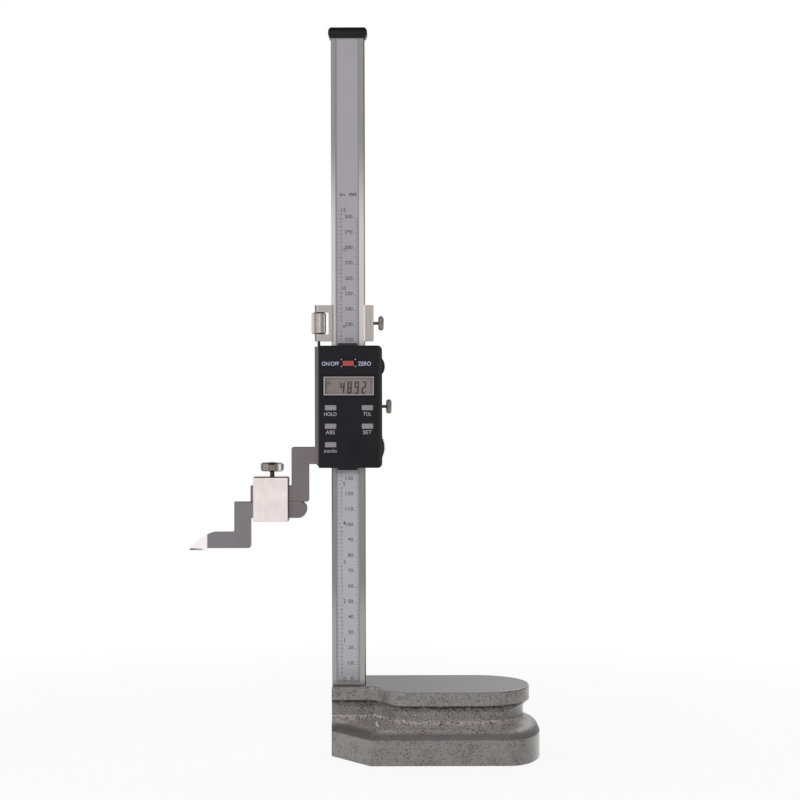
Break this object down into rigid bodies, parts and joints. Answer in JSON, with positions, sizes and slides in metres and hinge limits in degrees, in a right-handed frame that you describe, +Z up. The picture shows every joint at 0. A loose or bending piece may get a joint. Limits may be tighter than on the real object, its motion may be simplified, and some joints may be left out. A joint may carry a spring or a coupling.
{
  "type": "digital height gauge",
  "caption": "Digital height gauge: a slider with a display, fine adjustment and clamped scriber travels on a graduated upright beam set in a heavy waisted base.",
  "frame": {"origin": "on the reference face under the base, on the axis of the beam", "axes": "+Z up along the beam; -Y is the side with the scale, display and keys; +X towards the rounded end of the base; -X the way the scriber points"},
  "size_m": [0.2278, 0.096, 0.4717],
  "materials": {
    "grey_enamel": "glossy speckled grey enamel on cast iron",
    "ground_steel": "ground stainless steel with satin chrome",
    "scale_foil": "satin lavender-grey scale with dark marks",
    "black_plastic": "satin black moulding",
    "blackened_steel": "black oxide",
    "slider_steel": "satin hardened steel",
    "screw_steel": "bright steel",
    "gib_brass": "plain",
    "housing_plastic": "fine-textured black moulding",
    "felt": "dense black felt",
    "lens_acrylic": "clear window",
    "display_glass": "grey reflective display",
    "rubber_strip": "soft contact strip",
    "circuit_board": "green solder mask",
    "dome_steel": "spring steel",
    "battery_can": "nickel plated",
    "contact_brass": "plated spring brass",
    "connector_plastic": "plain",
    "knurled_steel": "bright knurled steel",
    "clamp_steel": "bright satin chrome",
    "scriber_steel": "ground dark steel",
    "carbide": "ground carbide",
    "red_key_plastic": "soft red moulding",
    "grey_key_plastic": "soft grey moulding"
  },
  "bodies": {
    "base": {"base_casting": "grey_enamel", "beam": "ground_steel", "scale_plate": "scale_foil", "beam_cap": "black_plastic", "beam_screws": "blackened_steel"},
    "slider": {"slider_frame": "slider_steel", "slider_back_plate": "slider_steel", "plate_screws": "screw_steel", "housing_screws": "screw_steel", "slider_gib": "gib_brass", "gib_set_screws": "blackened_steel", "housing_shell": "housing_plastic", "dust_wipers": "felt", "display_lens": "lens_acrylic", "display_panel": "display_glass", "zebra_strips": "rubber_strip", "main_board": "circuit_board", "sensor_strip": "circuit_board", "key_domes": "dome_steel", "battery": "battery_can", "battery_contacts": "contact_brass", "data_connector": "connector_plastic", "fine_adjust_rod": "screw_steel"},
    "carrier": {"carrier_body": "slider_steel", "carrier_back_plate": "slider_steel", "carrier_screws": "screw_steel", "carrier_gib": "gib_brass"},
    "fine_adjust_nut": {"fine_adjust_nut": "knurled_steel"},
    "carrier_lock_screw": {"carrier_lock_screw": "knurled_steel"},
    "slider_lock_screw": {"slider_lock_screw": "knurled_steel"},
    "scriber_clamp": {"scriber_clamp": "clamp_steel"},
    "wing_screw": {"wing_screw": "clamp_steel"},
    "scriber": {"scriber": "scriber_steel", "carbide_tip": "carbide"},
    "battery_cover": {"battery_cover": "housing_plastic"},
    "port_cover": {"port_cover": "housing_plastic"},
    "power_zero_key": {"power_zero_key": "red_key_plastic"},
    "hold_key": {"hold_key": "grey_key_plastic"},
    "absolute_key": {"absolute_key": "grey_key_plastic"},
    "unit_key": {"unit_key": "grey_key_plastic"},
    "tolerance_key": {"tolerance_key": "grey_key_plastic"},
    "preset_key": {"preset_key": "grey_key_plastic"}
  },
  "joints": [
    {"name": "slider_travel", "type": "slide", "parent": "base", "child": "slider", "axis": [0, 0, 1], "range_m": [-0.1315, 0.1675]},
    {"name": "nut_turn", "type": "hinge", "parent": "carrier", "child": "fine_adjust_nut", "pos_m": [-0.0192, -0.00065, 0.2794], "axis": [0, 0, 1], "range_deg": [-2701, 4501]},
    {"name": "carrier_feed", "type": "slide", "parent": "slider", "child": "carrier", "axis": [0, 0, 1], "range_m": [-0.003, 0.005]},
    {"name": "carrier_lock_turn", "type": "hinge", "parent": "carrier", "child": "carrier_lock_screw", "pos_m": [0.019, 0, 0.2794], "axis": [1, 0, 0], "range_deg": [0, 450]},
    {"name": "slider_lock_turn", "type": "hinge", "parent": "slider", "child": "slider_lock_screw", "pos_m": [0.024, 0, 0.2252], "axis": [1, 0, 0], "range_deg": [0, 450]},
    {"name": "clamp_slide", "type": "slide", "parent": "slider", "child": "scriber_clamp", "axis": [1, 0, 0], "range_m": [-0.002, 0.0016]},
    {"name": "wing_turn", "type": "hinge", "parent": "scriber_clamp", "child": "wing_screw", "pos_m": [-0.04981, -0.00044, 0.18], "axis": [0, 0, 1], "range_deg": [0, 450]},
    {"name": "scriber_slide", "type": "slide", "parent": "scriber_clamp", "child": "scriber", "axis": [1, 0, 0], "range_m": [-0.01, 0.0017]},
    {"name": "battery_cover_slide", "type": "slide", "parent": "slider", "child": "battery_cover", "axis": [1, 0, 0], "range_m": [0, 0.024]},
    {"name": "port_cover_pull", "type": "slide", "parent": "slider", "child": "port_cover", "axis": [1, 0, 0], "range_m": [0, 0.008]},
    {"name": "power_zero_key_press", "type": "slide", "parent": "slider", "child": "power_zero_key", "axis": [0, 1, 0], "range_m": [0, 0.0006], "stiffness_N_per_m": 1500, "springref_m": -0.0002},
    {"name": "hold_key_press", "type": "slide", "parent": "slider", "child": "hold_key", "axis": [0, 1, 0], "range_m": [0, 0.0006], "stiffness_N_per_m": 1500, "springref_m": -0.0002},
    {"name": "absolute_key_press", "type": "slide", "parent": "slider", "child": "absolute_key", "axis": [0, 1, 0], "range_m": [0, 0.0006], "stiffness_N_per_m": 1500, "springref_m": -0.0002},
    {"name": "unit_key_press", "type": "slide", "parent": "slider", "child": "unit_key", "axis": [0, 1, 0], "range_m": [0, 0.0006], "stiffness_N_per_m": 1500, "springref_m": -0.0002},
    {"name": "tolerance_key_press", "type": "slide", "parent": "slider", "child": "tolerance_key", "axis": [0, 1, 0], "range_m": [0, 0.0006], "stiffness_N_per_m": 1500, "springref_m": -0.0002},
    {"name": "preset_key_press", "type": "slide", "parent": "slider", "child": "preset_key", "axis": [0, 1, 0], "range_m": [0, 0.0006], "stiffness_N_per_m": 1500, "springref_m": -0.0002}
  ],
  "couplings": [
    {"joint": "nut_turn", "follows": "carrier_feed", "rad_per_m": 15708}
  ]
}
